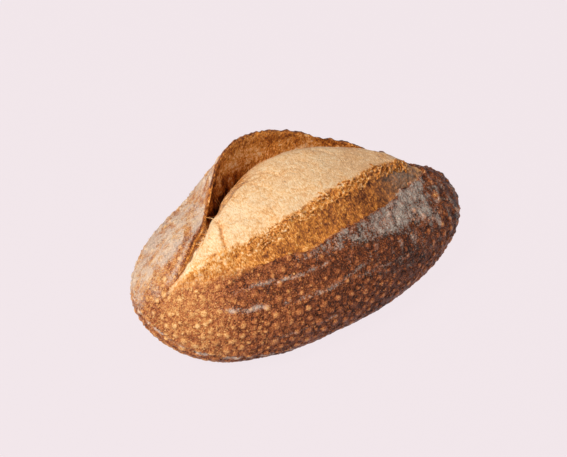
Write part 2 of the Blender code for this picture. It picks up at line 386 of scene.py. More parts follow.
def ring_stations():
    """Stations of the rings, evenly spaced over the skin from one tip to the other."""
    fine = -np.cos(np.linspace(0.0, math.pi, FINE_STATIONS))
    depth = SKIN_DEPTH * np.sqrt(np.maximum(0.0, 1.0 - np.abs(fine) ** SKIN_FULLNESS))
    run = np.concatenate([[0.0], np.cumsum(np.hypot(np.diff(fine * LENGTH / 2.0), np.diff(depth)))])
    return np.interp(np.linspace(0.0, run[-1], RINGS + 1)[1:-1], run, fine)


def walked(y, z):
    """Distance walked along an outline, from its first point."""
    return np.concatenate([[0.0], np.cumsum(np.hypot(np.diff(y), np.diff(z)))])


def ring_walk(y, z, stops):
    """Even walks along one ring: fine where the crust shows, and coarse under the base."""
    run = walked(y, z)
    lip, crevice, edge, end = (run[stop] for stop in stops)
    off_base = np.nonzero(z > FLAT_BASE)[0]
    near_base = max(run[off_base[0]], LEAST_BASE_SHARE * lip)
    far_base = min(run[off_base[-1]], end - LEAST_BASE_SHARE * (end - edge))
    marks = (0.0, near_base, lip, crevice, edge, far_base, end)
    counts = (BASE_POINTS, NEAR_POINTS, DOME_POINTS, EAR_POINTS, FAR_POINTS, BASE_POINTS)
    steps = [np.linspace(a, b, n, endpoint=False) for a, b, n in zip(marks, marks[1:], counts)]
    return run, np.concatenate(steps), lip, crevice, edge


def draw_rings():
    """Points of every ring, each with its distances inside the cut, past the ridge, up the ear,
    below the ear's edge, and past the lip.
    """
    fine = np.concatenate([
        np.linspace(a, b, FINE_POINTS, endpoint=False) for a, b in zip(COLUMN_STOPS, COLUMN_STOPS[1:])
    ])
    fine = np.append(fine, 1.0 - TINY)
    stops = (FINE_POINTS, 2 * FINE_POINTS, 3 * FINE_POINTS, len(fine) - 1)
    rows = []
    for station in ring_stations():
        y, z = loaf_outline(station, fine)
        run, walk, lip, crevice, edge = ring_walk(y, z, stops)
        ring_y, ring_z = np.interp(walk, run, y), np.interp(walk, run, z)
        share = slash_share(station)
        past_end = (abs(share) - 1.0) * (SLASH_END[0] - SLASH_START[0]) * LENGTH / 4.0
        cut = np.minimum.reduce([walk - lip, edge - walk, np.full_like(walk, -past_end)])
        bloom = slice(FINE_POINTS, 2 * FINE_POINTS)
        ridge = np.interp(through(RIDGE_LINE, station)[0], y[bloom], run[bloom])
        x = np.full_like(walk, station * LENGTH / 2.0)
        rows.append(np.stack([x, ring_y + SIDE_SHIFT, ring_z, cut, walk - ridge, walk - crevice,
                              edge - walk, walk - lip]))
    return np.array(rows).transpose(0, 2, 1)


def skin_faces(rings, points):
    """Faces of a closed skin: rows of quads between rings, and a fan at each tip."""
    here = np.arange(points)
    after = (here + 1) % points
    faces = []
    for ring in range(rings - 1):
        low, high = ring * points, (ring + 1) * points
        faces += np.stack([low + here, high + here, high + after, low + after], axis=1).tolist()
    start_tip, end_tip = rings * points, rings * points + 1
    last = (rings - 1) * points
    faces += [(start_tip, int(a), int(b)) for a, b in zip(here, after)]
    faces += [(end_tip, int(last + b), int(last + a)) for a, b in zip(here, after)]
    return faces


# How far apart two noises lie whose seeds differ by 1
NOISE_SHIFT = (17.3, 5.1, 9.7)


def rough(points, size, seed, longer=(1.0, 1.0, 1.0)):
    """Smooth noise from about -1 to 1 at points in mm, with lumps of a size in mm."""
    places = points * (1.0 / (np.array(longer) * size)) + seed * np.array(NOISE_SHIFT)
    return np.array([noise.noise(Vector(place)) for place in places])


def grain(points, rows):
    """A sum of noises, each with its amount, lump size in mm, seed, and the way its lumps are drawn."""
    return sum(amount * rough(points, *lumps) for amount, *lumps in rows)


def rise(value, start, span):
    """Smooth step from 0 at the start to 1 at the span's end, which lies before it if negative."""
    return ease((value - start) / span)


def steps(value, rows):
    """A sum of smooth steps, each with its amount, start and span."""
    return sum(amount * rise(value, start, span) for amount, start, span in rows)


# The crust's blisters, in mm, with how much the small ones outnumber the large
BLISTER_COUNT = 3600
BLISTER_RADIUS = (0.85, 3.1)
BLISTER_SMALLNESS = 2.8
BLISTER_HEIGHT = 0.9
BLISTER_ROUNDNESS = 0.6
BLISTER_GAP = 0.35
# The groove round each blister, in mm
GROOVE_WIDTH = 0.9
GROOVE_DEPTH = 0.35
BLISTER_SEED = 11
LEAST_DENSITY = 1e-6


def blister_density(points, crust, from_lip):
    """How close blisters stand: closest low on the near left, and few below the lip on the right."""
    x, y, z = points.T
    near = y < 0.0
    density = crust * rise(z, 5.0, 9.0) * (0.25 + 0.75 * rise(z, 60.0, -25.0)) * (0.15 + 0.85 * near)
    density = density + LEAST_DENSITY
    density *= (0.5 + 0.5 * rise(x, -128.0, 30.0)) * (1.0 - 0.72 * rise(x, -30.0, 80.0))
    return density * (1.0 - 0.85 * rise(x, -30.0, 40.0) * rise(from_lip, -26.0, 10.0) * near)


def raise_blisters(points, density):
    """Swell of the blisters, from -1 in their grooves to 1 on top, and their tone from 0 to 1."""
    rng = np.random.default_rng(BLISTER_SEED)
    tree = kdtree.KDTree(len(points))
    for index, point in enumerate(points):
        tree.insert(point, index)
    tree.balance()
    height, tone = np.zeros(len(points)), np.zeros(len(points))
    seeds = rng.choice(len(points), BLISTER_COUNT, replace=False, p=density / density.sum())
    radii = mix(*BLISTER_RADIUS, rng.random(len(seeds)) ** BLISTER_SMALLNESS)
    shades = rng.random(len(seeds))
    # The large ones come first, and a small one that would run into another is left out
    order = np.argsort(-radii)
    kept = []
    for seed, radius, shade in zip(seeds[order], radii[order], shades[order]):
        if kept:
            gaps = np.linalg.norm(points[[k[0] for k in kept]] - points[seed], axis=1)
            if np.min(gaps - [k[1] for k in kept]) < radius + BLISTER_GAP:
                continue
        kept.append((seed, radius))
        for _, index, distance in tree.find_range(points[seed], radius + GROOVE_WIDTH):
            if distance > radius:
                groove = (distance - radius) / GROOVE_WIDTH - 1.0
                if height[index] <= 0.0:
                    height[index] = min(height[index], groove)
                continue
            swell = (1.0 - (distance / radius) ** 2) ** BLISTER_ROUNDNESS
            if swell > height[index]:
                height[index], tone[index] = swell, shade
    return height, tone


# Flour lines on the near crust: start and end along the loaf, height at each end, width, all in mm,
# and strength
FLOUR_LINES = (
    (-94.0, -56.0, 57.5, 55.5, 1.7, 1.15),
    (-56.0, 20.0, 54.0, 57.5, 1.6, 0.65),
    (-84.0, -46.0, 65.0, 67.0, 0.9, 0.95),
    (-56.0, -6.0, 64.5, 69.5, 0.9, 0.85),
    (-70.0, -10.0, 30.0, 35.0, 1.2, 0.6),
    (-5.0, 75.0, 54.0, 46.0, 1.5, 0.50),
    (20.0, 95.0, 44.0, 36.0, 1.5, 0.45),
    (45.0, 110.0, 62.0, 44.0, 1.1, 0.5),
    (86.0, 118.0, 66.0, 36.0, 0.9, 0.6),
)
# How much the lines sway, over what length, and how they fade in and out, in mm
LINE_SWAY, LINE_SWAY_LENGTH = 1.1, 11.0
LINE_FADE_IN, LINE_FADE_OUT = 6.0, 12.0
# The floury ledge low on the near side: x and height along it, in mm, and where it fades
LEDGE = ((-131.0, 34.0), (-124.0, 30.0), (-115.0, 26.5), (-88.0, 21.5), (-55.0, 16.0), (-20.0, 12.5))
LEDGE_FADE = (-70.0, 40.0)
# The flour patch below the lip on the right, and its depth at each end, in mm
PATCH_START, PATCH_END = -45.0, 95.0
PATCH_DEPTH = (9.0, 32.0)
# How far across the loaf, in mm, the ledge and the lip's flour, the lines, and the lip's rim reach
LEDGE_ACROSS, LINES_ACROSS, RIM_ACROSS = 12.0, 8.0, 10.0
# Lumps of flour are half as long along the loaf as across it
CROSSWISE = (0.5, 1.0, 1.0)
LEAST_FLOUR, MOST_FLOUR = -1.5, 1.5


def below_ledge(points):
    """Distance in mm below the floury ledge, and how clearly it shows from 0 to 1."""
    x, y, z = points.T
    level = np.interp(x, *np.array(LEDGE).T) + 0.8 * rough(points, 14.0, 34)
    return level - z, (y < LEDGE_ACROSS) * (1.0 - rise(x, *LEDGE_FADE))


def line_flour(points):
    """Flour in the lines that the basket left on the near crust, and along the ledge."""
    x, y, z = points.T
    flour = np.zeros(len(points))
    drift = LINE_SWAY * np.sin(x / LINE_SWAY_LENGTH) + 0.8 * rough(points, 12.0, 31)
    broken = 0.9 + rough(points, 5.0, 35)
    for start, end, start_z, end_z, width, strength in FLOUR_LINES:
        level = mix(start_z, end_z, np.clip((x - start) / (end - start), 0.0, 1.0)) + drift
        fade = rise(x, start, LINE_FADE_IN) * rise(x, end, -LINE_FADE_OUT) * (y < LINES_ACROSS)
        flour = np.maximum(flour, strength * fade * bump(z - level, width) * broken)
    below, shows = below_ledge(points)
    on_ledge = 1.9 * shows * bump(below - 2.0, 1.6)
    return np.maximum(flour, on_ledge * (0.55 + 2.4 * rough(points, 6.0, 36)))


def patch_flour(points, cut, from_lip):
    """Flour in the patch below the lip, and the thin veil that runs on below it."""
    x, y, _ = points.T
    depth = mix(*PATCH_DEPTH, rise(x, PATCH_START, PATCH_END - PATCH_START))
    below = -from_lip + grain(points, ((5.0, 11.0, 32), (2.5, 4.0, 37)))
    patch = rise(below, -1.5, 3.0) * (1.0 - rise(below, depth * 0.6, depth * 0.55))
    patch *= rise(x, PATCH_START, 30.0)
    patch *= 1.0 - ease((x - PATCH_END + 9.0) / 12.0 + rough(points, 7.0, 38))
    patch *= 0.50 + 0.35 * rise(x, 15.0, 35.0) + 0.55 * rough(points, 7.0, 39, CROSSWISE)
    patch += 0.35 * rough(points, 2.6, 40, (0.6, 1.0, 1.0)) * (patch > 0.05)
    patch *= 1.15 - 0.85 * bump(cut + 0.7, 1.0)
    veil = rise(x, -20.0, 60.0) * rise(y, 12.0, -8.0) * (0.16 + 1.2 * rough(points, 9.0, 67, CROSSWISE))
    return np.maximum(patch, veil * rise(from_lip, -1.5, -3.0) * rise(from_lip, -58.0, 25.0))


def far_flour(points, cut, edge):
    """Flour on the far crust, thinner to the right, and along the ear's rim on the left."""
    x, y, z = points.T
    far = ease((y + 8.0 - 20.0 * (z < 30.0)) / 14.0) * (edge < 0.0) * (cut < 0.0)
    far *= 1.20 + grain(points, ((1.1, 16.0, 33), (1.1, 6.0, 44), (0.9, 2.4, 68)))
    far *= (1.0 - 0.30 * rise(x, -62.0, 40.0)) * (1.0 - 0.5 * rise(x, 0.0, 90.0))
    on_rim = 1.1 * bump(edge + 4.0, 2.5) * (x < -70.0) * rise(x, -116.0, 8.0) * (cut < 0.0)
    return np.maximum(far, on_rim)


def flour_map(points, cut, from_lip, edge):
    """Flour left by the proving basket: from 0 to 1.5 on the crust, and below 0 on the cut."""
    x, y, _ = points.T
    lip = 0.6 * bump(cut + 1.0, 0.9) * (y < LEDGE_ACROSS) * rise(x, -50.0, 60.0)
    lip *= 0.7 + 1.3 * rough(points, 6.0, 43)
    tip = rise(x, -92.0, -25.0) * 0.62 * (0.8 + 1.2 * rough(points, 9.0, 45))
    behind = np.maximum(far_flour(points, cut, edge), tip) * rise(from_lip, -5.0, 10.0)
    flour = np.maximum.reduce([line_flour(points), patch_flour(points, cut, from_lip), lip, behind])
    # None on the cut surfaces, but for a little on the band's right end
    on_band = LEAST_FLOUR + 1.9 * rise(x, 30.0, 45.0)
    return mix(np.clip(flour, 0.0, MOST_FLOUR), on_band, rise(cut, 1.0, 3.0))


# Browning along the near crust and the far crust: amount, and start and span of each step in mm
NEAR_BROWNING = ((0.215, -106.0, 34.0), (0.15, -80.0, 120.0), (-0.05, 80.0, 25.0))
FAR_BROWNING = ((0.34, -30.0, 120.0),)
# Small torn spots at the far end of the near crust: x, y, z and reach in mm
END_TEARS = (
    (97.0, -41.0, 55.0, 5.0),
    (106.0, -46.0, 45.0, 4.5),
    (104.0, -30.0, 58.0, 3.5),
    (112.0, -36.0, 38.0, 3.5),
)


def bake_map(points, cut, edge, tone):
    """How far the crust has browned, from 0, straw, to 1, nearly black."""
    x, y, z = points.T
    near = 0.335 + steps(x, NEAR_BROWNING) + 0.05 * rise(z, 26.0, -18.0) * rise(x, -100.0, 60.0)
    far = 0.28 + steps(x, FAR_BROWNING)
    bake = mix(near, far, rise(y, -4.0, 16.0) * (edge < 60.0))
    bake += grain(points, ((0.09, 24.0, 41), (0.10, 7.0, 42)))
    bake += 0.16 * (tone - 0.5) + 0.26 * rise(x, 84.0, 14.0) * rough(points, 5.0, 49)
    below, shows = below_ledge(points)
    bake += 0.16 * shows * bump(below - 6.0, 3.0)
    bake += 0.20 * bump(edge, 1.3) * (cut > -4.0) * rise(x, -112.0, 25.0)
    bake -= 0.30 * bump(cut + 0.7, 0.8) * (y < LINES_ACROSS) * rise(x, -50.0, 40.0)
    # Torn, less baked spots at the far end
    ragged_rim = 3.0 * rough(points, 4.0, 46)
    for spot_x, spot_y, spot_z, reach in END_TEARS:
        away = np.sqrt((x - spot_x) ** 2 + (y - spot_y) ** 2 + (z - spot_z) ** 2)
        bake -= 0.26 * ease((reach - away + ragged_rim) / 3.0)
    return bake


# Toasting along the dome, the golden torn strip and the band: amount, start and span of each step
DOME_TOAST = ((0.085, -75.0, 50.0), (0.03, -20.0, 50.0), (0.07, 40.0, 50.0))
STRIP_TOAST = ((0.06, -30.0, 100.0), (0.08, 55.0, 25.0))
BAND_TOAST = ((0.18, -95.0, 60.0), (0.12, -30.0, 100.0), (0.06, 50.0, 30.0), (0.05, 45.0, 30.0))
# How wide the golden torn strip is, from the dome down to a crack in the band, in mm
TORN_STRIP = 7.0
# Browner marks on the dome: x, y, length and width in mm, with their slant and depth of colour
DOME_MARKS = (
    (-34.0, 13.0, 4.0, 1.6),
    (-19.0, 12.0, 5.0, 1.4),
    (-10.0, -4.0, 5.0, 1.6),
    (-46.0, 4.0, 5.0, 1.2),
)
MARK_SLANT = 0.2
MARK_TOAST = 0.13
# The dome's torn shoulder, where it drops into the crevice: x and y along it, in mm
SHOULDER = (
    (-68.0, -8.0),
    (-63.0, -5.0),
    (-53.0, 0.0),
    (-43.0, 6.0),
    (-33.0, 10.0),
    (-24.0, 12.0),
    (-15.0, 13.0),
)
SHOULDER_START, SHOULDER_END = -68.0, -36.0
SHOULDER_DROP = 2.7


def past_shoulder(points):
    """Distance in mm past the dome's torn shoulder, and how much of it there is from 0 to 1."""
    x, y, _ = points.T
    past = y - np.interp(x, *np.array(SHOULDER).T) + 1.4 * rough(points, 6.0, 71)
    return past, rise(x, SHOULDER_START, 9.0) * (1.0 - rise(x, SHOULDER_END, 24.0))


def dome_toast_and_shading(points):
    """Toasting of the bloomed dough: cream, golden to the right, and painted shade in patches past its
    shoulder, where it drops into the crevice.
    """
    x, y, z = points.T
    dome = 0.214 + steps(x, DOME_TOAST) - 0.035 * rise(z, 84.0, 12.0)
    dome += grain(points, ((0.08, 16.0, 51), (0.05, 6.0, 58)))
    for mark_x, mark_y, length, width in DOME_MARKS:
        across = y - mark_y - MARK_SLANT * (x - mark_x)
        dome += MARK_TOAST * bump(x - mark_x, length) * bump(across, width)
    past, shoulder = past_shoulder(points)
    # Painted shade: past the torn shoulder, where the dome drops into the crevice, it is coloured darker
    # in patches
    pocket_shade = 0.45 + 0.55 * ease(5.0 * rough(points, 5.0, 72) + 0.6)
    return dome + 0.30 * shoulder * pocket_shade * rise(past, 2.0, 3.0)


def ear_toast_and_shading(points, ear, edge):
    """Toasting inside the ear: dark at its edge, golden below it, pale at its foot, with painted shade in
    its holes there and deep in the crevice on the left.
    """
    x = points[:, 0]
    height = ear / np.maximum(ear + edge, 1.0)
    inner = 0.43 + 0.12 * rise(edge, 20.0, -10.0)
    inner += 0.12 * rise(edge, 5.5, -3.5) * (0.3 + 0.7 * rise(x, -62.0, 16.0))
    inner -= 0.09 * rise(edge, 11.0, 6.0) * bump(x + 38.0, 26.0)
    inner -= 0.07 * rise(x, 0.0, 40.0)
    inner += grain(points, ((0.10, 14.0, 61), (0.12, 3.0, 62), (0.16, 6.0, 57, (2.6, 1.0, 1.0))))
    inner = mix(inner, 0.12 + 0.42 * rise(height, 0.25, 0.6), 1.0 - rise(x, -70.0, 12.0))
    # Painted shade: holes in the crumb near the ear's foot, and the deep crevice on the left, are coloured
    # darker
    painted_hole_shade = ease(6.0 * rough(points, 6.0, 66) + 0.7) * bump(x + 54.0, 15.0) * rise(edge, 8.0, 5.0)
    deep = ease((edge - 18.0 - 0.25 * (x + 54.0)) / 5.0) * bump(x + 38.0, 22.0)
    painted_hole_shade = np.maximum(painted_hole_shade, deep * ease(5.0 * rough(points, 7.0, 73) + 0.8))
    return inner + 0.38 * painted_hole_shade + 0.14 * bump(edge, 1.8)


def toast_and_shading_map(points, cut, ridge, ear, edge):
    """How far the cut surfaces have toasted, from 0, cream, to 1, nearly black, with painted shade in a
    crack, in holes and past the dome's shoulder.
    """
    x = points[:, 0]
    torn = 0.3 + 0.7 * rise(x, -85.0, 40.0)
    strip = 0.425 + steps(x, STRIP_TOAST) + torn * grain(points, ((0.20, 5.0, 53), (0.14, 2.4, 56)))
    band = 0.375 + steps(x, BAND_TOAST) + grain(points, ((0.08, 9.0, 52), (0.08, 3.0, 59)))
    down = -(ridge + grain(points, ((3.0, 12.0, 54), (3.0, 4.5, 55))))
    toast_and_shading = mix(dome_toast_and_shading(points), strip, rise(down, -1.5, 2.5))
    toast_and_shading = mix(toast_and_shading, band, rise(down, TORN_STRIP - 2.0, 5.0) * rise(x, -80.0, 40.0))
    toast_and_shading = mix(toast_and_shading, band, rise(down, -2.0, 8.0) * (1.0 - rise(x, -90.0, 50.0)))
    # Painted shade: a crack along the band on the right is coloured darker
    crack = bump(down - TORN_STRIP - 1.5, 0.9) * rise(x, 5.0, 20.0) * (cut > 2.0) * (ear < 0.0)
    toast_and_shading += 0.30 * crack * (0.7 + rough(points, 5.0, 60))
    return mix(toast_and_shading, ear_toast_and_shading(points, ear, edge), rise(ear, 0.5, 1.5))


def ashen_map(points, ridge, ear):
    """How much the cut surfaces are dulled by flour and steam, from 0 to 1."""
    x, _, z = points.T
    ashen = 0.28 + 0.60 * rise(x, -40.0, 130.0) + 0.40 * rise(z, 78.0, 16.0)
    ashen += grain(points, ((0.35, 13.0, 47), (0.25, 4.0, 48)))
    ashen *= mix(0.45 * rise(x, 40.0, 40.0), 1.0, rise(ridge, -1.0, 4.0))
    return np.clip(ashen * (ear < 1.0), 0.0, 1.0)


# Creases in the dome, as lines through points x and y, with width and depth, in mm
CREASES = (
    (((-67.0, -3.0), (-66.0, -10.0), (-69.5, -18.0), (-72.0, -26.0)), 1.1, 0.9),
    (((-80.0, -28.0), (-76.0, -30.0), (-70.0, -31.5)), 1.0, 0.7),
    (((-34.0, 12.0), (-26.0, 12.5), (-19.0, 11.0)), 1.1, 0.4),
    (((-10.0, 2.0), (-4.0, 2.5), (1.0, -1.0)), 1.3, 0.4),
    (((-60.0, -12.0), (-50.0, -16.0), (-42.0, -22.0)), 0.9, 0.35),
    (((-52.0, 12.0), (-46.0, 13.0), (-38.0, 15.0), (-31.0, 15.0)), 0.8, 0.5),
    (((-30.0, 9.0), (-28.0, 4.0), (-24.0, 0.0)), 0.8, 0.35),
    (((-22.0, 16.0), (-16.0, 12.0), (-12.0, 6.0), (-10.0, 2.0)), 0.9, 0.4),
    (((-3.0, 6.0), (2.0, 3.0), (6.0, -2.0)), 0.9, 0.35),
    (((10.0, 8.0), (16.0, 3.0), (18.0, -3.0)), 0.8, 0.3),
    (((28.0, 14.0), (33.0, 10.0), (36.0, 4.0)), 0.8, 0.3),
    (((-58.0, -2.0), (-57.0, -9.0), (-60.0, -16.0)), 0.8, 0.3),
    (((-47.0, 8.0), (-45.0, 0.0), (-47.0, -7.0)), 0.8, 0.25),
    (((-88.0, -20.0), (-84.0, -16.0), (-79.0, -9.0)), 0.9, 0.3),
    (((-95.0, -24.0), (-88.0, -26.0), (-80.0, -25.0)), 0.8, 0.35),
)
CREASE_DEEPENING = 1.5


def crease_map(points):
    """Depth in mm of the dome's creases at each point."""
    x, y = points[:, 0], points[:, 1]
    depth = np.zeros(len(points))
    for line, width, deep in CREASES:
        for (x0, y0), (x1, y1) in zip(line, line[1:]):
            span = (x1 - x0) ** 2 + (y1 - y0) ** 2
            share = np.clip(((x - x0) * (x1 - x0) + (y - y0) * (y1 - y0)) / span, 0.0, 1.0)
            distance = np.hypot(x - x0 - share * (x1 - x0), y - y0 - share * (y1 - y0))
            depth = np.maximum(depth, deep * bump(distance, width))
    return CREASE_DEEPENING * depth


# Beyond this line, in mm across the loaf, the slash's border is the ear's
NEAR_SIDE = -16.0
# The border at its soft left end and its sharp right end: wander, width and start, in mm
BORDER_WANDER, BORDER_WIDTH, BORDER_START = (3.0, 1.0), (11.0, 0.9), (-3.5, -0.3)


def border_map(points, cut):
    """Where the crust gives way to the cut surface: 0 on the crust and 1 on the cut, or beyond."""
    sharp = rise(points[:, 0], -84.0, 34.0)
    wander = mix(*BORDER_WANDER, sharp) * rough(points, 6.0, 63) + 0.7 * rough(points, 2.4, 64)
    near = (cut + wander - mix(*BORDER_START, sharp)) / mix(*BORDER_WIDTH, sharp)
    far = (cut + 0.4 * rough(points, 3.0, 65)) / 0.8
    return np.clip(mix(near, far, rise(points[:, 1], NEAR_SIDE, 6.0)), -1.0, 2.0)


# Lumps of the relief: amount in mm, size in mm, seed, and how they are drawn along, across and up
SWELLS = ((0.9, 42.0, 1), (0.5, 15.0, 2))
CRUST_GRAIN = ((0.30, 4.5, 3), (0.30, 2.2, 4))
PATCH_GRAIN = ((0.7, 6.0, 22, CROSSWISE), (0.4, 2.6, 24))
CRUMB = ((0.75, 5.0, 5), (0.75, 2.3, 6))
DOME_GRAIN = ((0.35, 5.0, 8), (0.28, 2.0, 9, (1.4, 0.7, 0.7)))
EAR_STREAKS = ((0.7, 3.8, 10, (1.0, 4.0, 5.0)), (0.5, 2.0, 12))
RIM_TEETH = ((2.2, 5.0, 13), (1.8, 2.6, 23))
EDGE_TEETH = ((1.5, 6.0, 20), (1.3, 2.6, 21))


def crust_relief(points, blister, from_lip, rightward):
    """Relief of the crust in mm: grain, blisters, the ledge, the torn far end, and the patch."""
    x, y, z = points.T
    swell = np.where(blister > 0.0, BLISTER_HEIGHT, GROOVE_DEPTH) * blister
    relief = grain(points, CRUST_GRAIN) * (0.35 + 0.65 * rise(z, 8.0, 20.0))
    relief += swell * (0.4 + 0.6 * rise(z, 10.0, 14.0))
    below, shows = below_ledge(points)
    relief += shows * (0.6 * bump(below + 1.2, 2.2) - 0.7 * bump(below - 2.0, 1.8))
    far_end = rise(x, 84.0, 14.0) * rise(z, 25.0, 12.0)
    relief += far_end * (1.6 * np.abs(rough(points, 7.0, 25)) + 0.9 * rough(points, 3.0, 26))
    patch = (y < 0.0) * bump(from_lip + 10.0, 10.0) * rightward
    return relief + patch * grain(points, PATCH_GRAIN)


def loaf_relief(points, skin, cut, ridge, ear, edge, from_lip):
    """Height of the relief in mm at each point, and the maps that its finish is painted by."""
    x, y, z = points.T
    inside = ease(cut / 1.6 + 0.4)
    bloomed = ease(ridge / 3.0 + 0.5)
    on_ear = rise(ear, 1.0, 3.0)
    crust = 1.0 - inside
    band = inside * (1.0 - bloomed) * (1.0 - on_ear)
    dome = inside * bloomed * (1.0 - on_ear)
    rightward = rise(x, -60.0, 60.0)
    blister, tone = raise_blisters(points, blister_density(points, crust, from_lip) * skin)

    relief = grain(points, SWELLS) + crust * crust_relief(points, blister, from_lip, rightward)
    crumb = grain(points, CRUMB)
    relief += band * crumb
    ridge_line = inside * (1.0 - on_ear) * bump(ridge + 3.0 + 3.0 * rough(points, 8.0, 18), 3.6)
    folds = 1.0 - 3.2 * np.abs(rough(points, 7.0, 7)) - 1.6 * np.abs(rough(points, 3.0, 17))
    tears = np.maximum(folds - 0.5 + 1.2 * rough(points, 2.2, 19), -0.35)
    relief += ridge_line * (0.1 + 0.9 * rightward) * (0.5 + 1.6 * tears)
    relief += dome * grain(points, DOME_GRAIN)
    past, shoulder = past_shoulder(points)
    relief -= SHOULDER_DROP * dome * shoulder * ease(past / 8.0) * rise(ear, -3.0, -8.0)
    creases = crease_map(points) * dome
    relief -= creases
    relief += inside * on_ear * grain(points, EAR_STREAKS)
    rim = bump(cut + 1.0, 1.3) * (y < RIM_ACROSS) * rightward
    relief += rim * (1.0 + grain(points, RIM_TEETH))
    relief -= 0.7 * bump(cut - 2.5, 2.0) * (y < 0.0) * inside * rightward
    toast_and_shading = toast_and_shading_map(points, cut, ridge, ear, edge)
    # Painted light and shade: creases are coloured darker by their depth, and the crumb's and torn ridge's
    # hollows darker and their peaks paler
    toast_and_shading += 0.18 * creases - 0.09 * band * crumb - 0.11 * ridge_line * tears
    maps = {
        "blister": np.where(blister > 0.0, blister * (0.30 + 0.70 * tone), blister),
        "bake": bake_map(points, cut, edge, np.where(blister > 0.0, tone, 0.5)),
        "toast_and_shading": toast_and_shading,
        "border": border_map(points, cut),
        "flour": flour_map(points, cut, from_lip, edge),
        "ashen": ashen_map(points, ridge, ear),
    }
    clear_of_base = rise(z, 0.5, 7.0)
    return relief * clear_of_base, maps


def write_maps(mesh, maps):
    """Gives a piece its maps, each as one value for all its points or one for each."""
    for name, values in maps.items():
        values = np.broadcast_to(np.float32(values), len(mesh.vertices))
        layer = mesh.attributes.new(name, "FLOAT", "POINT")
        layer.data.foreach_set("value", np.ascontiguousarray(values))


def make_skin():
    """The loaf's whole skin as one closed mesh, with its points, normals and distances in mm."""
    rows = draw_rings()
    rings, count, _ = rows.shape
    flat = rows.reshape(-1, rows.shape[2])
    tips = []
    for station, ring in ((-1.0, rows[0]), (1.0, rows[-1])):
        tip_y, tip_z = loaf_outline(station, np.array([TIP_COLUMN]))
        place = [station * LENGTH / 2.0, tip_y[0] + SIDE_SHIFT, tip_z[0]]
        tips.append(np.concatenate([place, ring[:, 3:].min(axis=0)]))
    flat = np.vstack([flat, tips])
    mesh = bpy.data.meshes.new("sourdough_loaf")
    mesh.from_pydata(flat[:, :3].tolist(), [], skin_faces(rings, count))
    normals = np.zeros(len(flat) * 3, dtype=np.float32)
    mesh.vertex_normals.foreach_get("vector", normals)
    normals = normals.reshape(-1, 3)
    points = flat[:, :3] / MM
    cut, ridge, ear, edge, from_lip = (flat[:, 3:] / MM).T
    grid = points[:-2].reshape(rings, count, 3)
    lengthwise = np.linalg.norm(np.gradient(grid, axis=0), axis=2)
    around = np.linalg.norm(np.roll(grid, -1, axis=1) - grid, axis=2)
    skin = np.append((lengthwise * around).ravel(), [0.0, 0.0])
    relief, maps = loaf_relief(points, skin, cut, ridge, ear, edge, from_lip)
    stations = points * (1.0, 0.0, 0.0)
    points = points + normals * relief[:, None]
    near_edge = rise(cut, -2.0, 1.0) * bump(edge, 3.0) * rise(ear, 3.0, 5.0)
    points[:, 2] += near_edge * grain(stations, EDGE_TEETH)
    points[:, 2] = np.maximum(points[:, 2], 0.0)
    mesh.vertices.foreach_set("co", (points * MM).astype(np.float32).ravel())
    write_maps(mesh, maps)
    mesh.shade_smooth()
    mesh.update()
    return mesh, points, normals, np.float32([cut, ridge, ear, edge])


# The maps of dough that is torn all over, without its toasting
TORN_DOUGH = {"border": 2.0, "bake": 0.5, "flour": 0.0, "blister": 0.0, "ashen": 0.0}

# Torn flakes that stand along the ridge, in mm
FLAKES = 200
FLAKE_SPAN = (-58.0, 86.0)
FLAKE_OFF_RIDGE, FLAKE_SPREAD = -3.5, 4.5
FLAKE_OFF_LIP = 3.0
FLAKE_WIDTH = (2.2, 9.0)
FLAKE_HEIGHT = (1.0, 3.4)
FLAKE_SINK = 0.5
FLAKE_THICKNESS = 0.7
# How thick a flake is at its root, as a share, and how much thinner at its top
FLAKE_ROOT, FLAKE_THINNING = 1.15, 0.6
# How much the narrow and the low flakes outnumber the rest
FLAKE_NARROWNESS, FLAKE_LOWNESS = 1.6, 1.5
# How far flakes turn, curl and narrow, how they ripple, and how deeply their tops are notched
FLAKE_TURN = 0.7
FLAKE_CURL = (0.4, 1.9)
FLAKE_TAPER = 0.55
FLAKE_RIPPLE = (1.5, 4.0)
FLAKE_RIPPLE_HEIGHT = 0.25
FLAKE_NOTCHES = 3.0
FLAKE_NOTCH_DEPTH = 0.3
FLAKE_PHASES = 6.0
# Toasting of the flakes: least, spread and rise along the loaf; then painted shade at the root and a
# painted highlight towards the top
FLAKE_TOAST, FLAKE_TOAST_SPREAD = 0.38, 0.14
FLAKE_TOAST_RISE = ((0.06, 10.0, 60.0),)
FLAKE_ROOT_SHADE, FLAKE_TIP_HIGHLIGHT = 0.05, 0.14
FLAKE_STEPS = 6
FLAKE_SEED = 23


def sheet_faces(steps, first):
    """Faces of a thin closed flake: a front and a back grid of points, joined round their rim."""
    front = first + np.arange(steps * steps).reshape(steps, steps)
    back = front + steps * steps
    faces = []
    for i in range(steps - 1):
        for j in range(steps - 1):
            faces.append((front[i, j], front[i, j + 1], front[i + 1, j + 1], front[i + 1, j]))
            faces.append((back[i, j], back[i + 1, j], back[i + 1, j + 1], back[i, j + 1]))
    rim = [(0, j) for j in range(steps - 1)] + [(i, steps - 1) for i in range(steps - 1)]
    rim += [(steps - 1, j) for j in range(steps - 1, 0, -1)] + [(i, 0) for i in range(steps - 1, 0, -1)]
    for here, after in zip(rim, rim[1:] + rim[:1]):
        faces.append((front[here], back[here], back[after], front[after]))
    return [tuple(int(v) for v in face) for face in faces]


